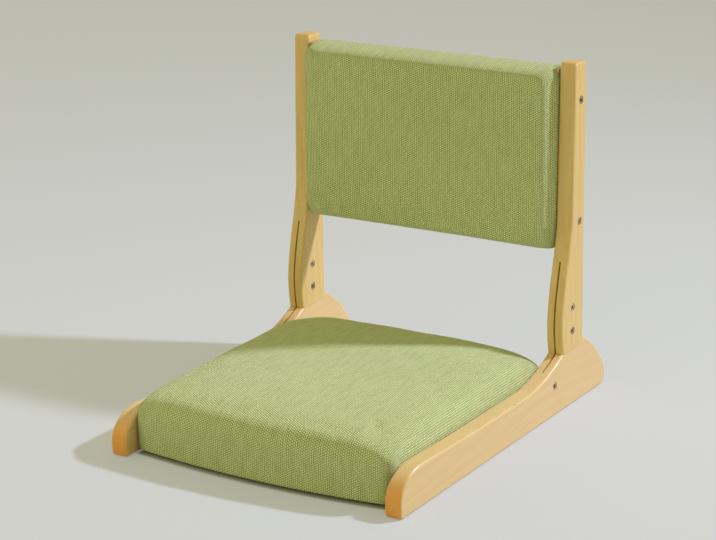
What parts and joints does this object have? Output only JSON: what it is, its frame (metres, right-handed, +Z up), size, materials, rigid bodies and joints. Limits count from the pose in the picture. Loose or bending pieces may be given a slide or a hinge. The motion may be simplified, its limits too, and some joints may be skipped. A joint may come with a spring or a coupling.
{
  "type": "folding floor chair",
  "caption": "Legless folding floor chair: timber side rails with a padded seat between them, and a padded backrest that folds forward over the seat on hidden hinge plates.",
  "frame": {"origin": "on the floor, midway between the side rails and midway along them", "axes": "+X to the right as seen from the front, +Y towards the back of the chair, +Z up; the user faces -Y"},
  "size_m": [0.44, 0.541, 0.4669],
  "materials": {
    "rail_timber": "clear satin lacquer over fine-grained blond timber",
    "upright_timber": "clear satin lacquer over fine-grained blond timber",
    "frame_timber": "planed softwood",
    "dowel_timber": "turned hardwood",
    "plywood": "sanded plywood",
    "foam": "open-cell foam",
    "green_fabric": "coarse ribbed basket weave",
    "lining_cloth": "thin non-woven cloth",
    "hinge_steel": "zinc plated",
    "staple_steel": "galvanised wire",
    "screw_steel": "zinc plated",
    "bolt_steel": "dull plated"
  },
  "bodies": {
    "base": {"left_pivot_bolt": "bolt_steel", "left_pivot_sleeve_nut": "bolt_steel", "left_seat_batten": "frame_timber", "left_side_rail": "rail_timber", "right_pivot_bolt": "bolt_steel", "right_pivot_sleeve_nut": "bolt_steel", "right_seat_batten": "frame_timber", "right_side_rail": "rail_timber", "seat_board": "plywood", "seat_board_screws": "screw_steel", "seat_cover": "green_fabric", "seat_dust_cloth": "lining_cloth", "seat_fixing_screws": "screw_steel", "seat_foam": "foam", "seat_frame_dowels": "dowel_timber", "seat_front_rail": "frame_timber", "seat_rear_rail": "frame_timber", "seat_staples": "staple_steel"},
    "backrest": {"back_board": "plywood", "back_board_screws": "screw_steel", "back_bottom_batten": "frame_timber", "back_cover": "green_fabric", "back_foam": "foam", "back_frame_dowels": "dowel_timber", "back_insert_nuts": "bolt_steel", "back_rear_cloth": "lining_cloth", "back_staples": "staple_steel", "back_top_batten": "frame_timber", "left_back_batten": "frame_timber", "left_back_bolts": "bolt_steel", "left_hinge_plate": "hinge_steel", "left_plate_bolts": "bolt_steel", "left_plate_sleeve_nuts": "bolt_steel", "left_upright": "upright_timber", "right_back_batten": "frame_timber", "right_back_bolts": "bolt_steel", "right_hinge_plate": "hinge_steel", "right_plate_bolts": "bolt_steel", "right_plate_sleeve_nuts": "bolt_steel", "right_upright": "upright_timber"}
  },
  "joints": [
    {"name": "backrest_fold", "type": "hinge", "parent": "base", "child": "backrest", "pos_m": [0, 0.1235, 0.042], "axis": [1, 0, 0], "range_deg": [0, 82]}
  ]
}
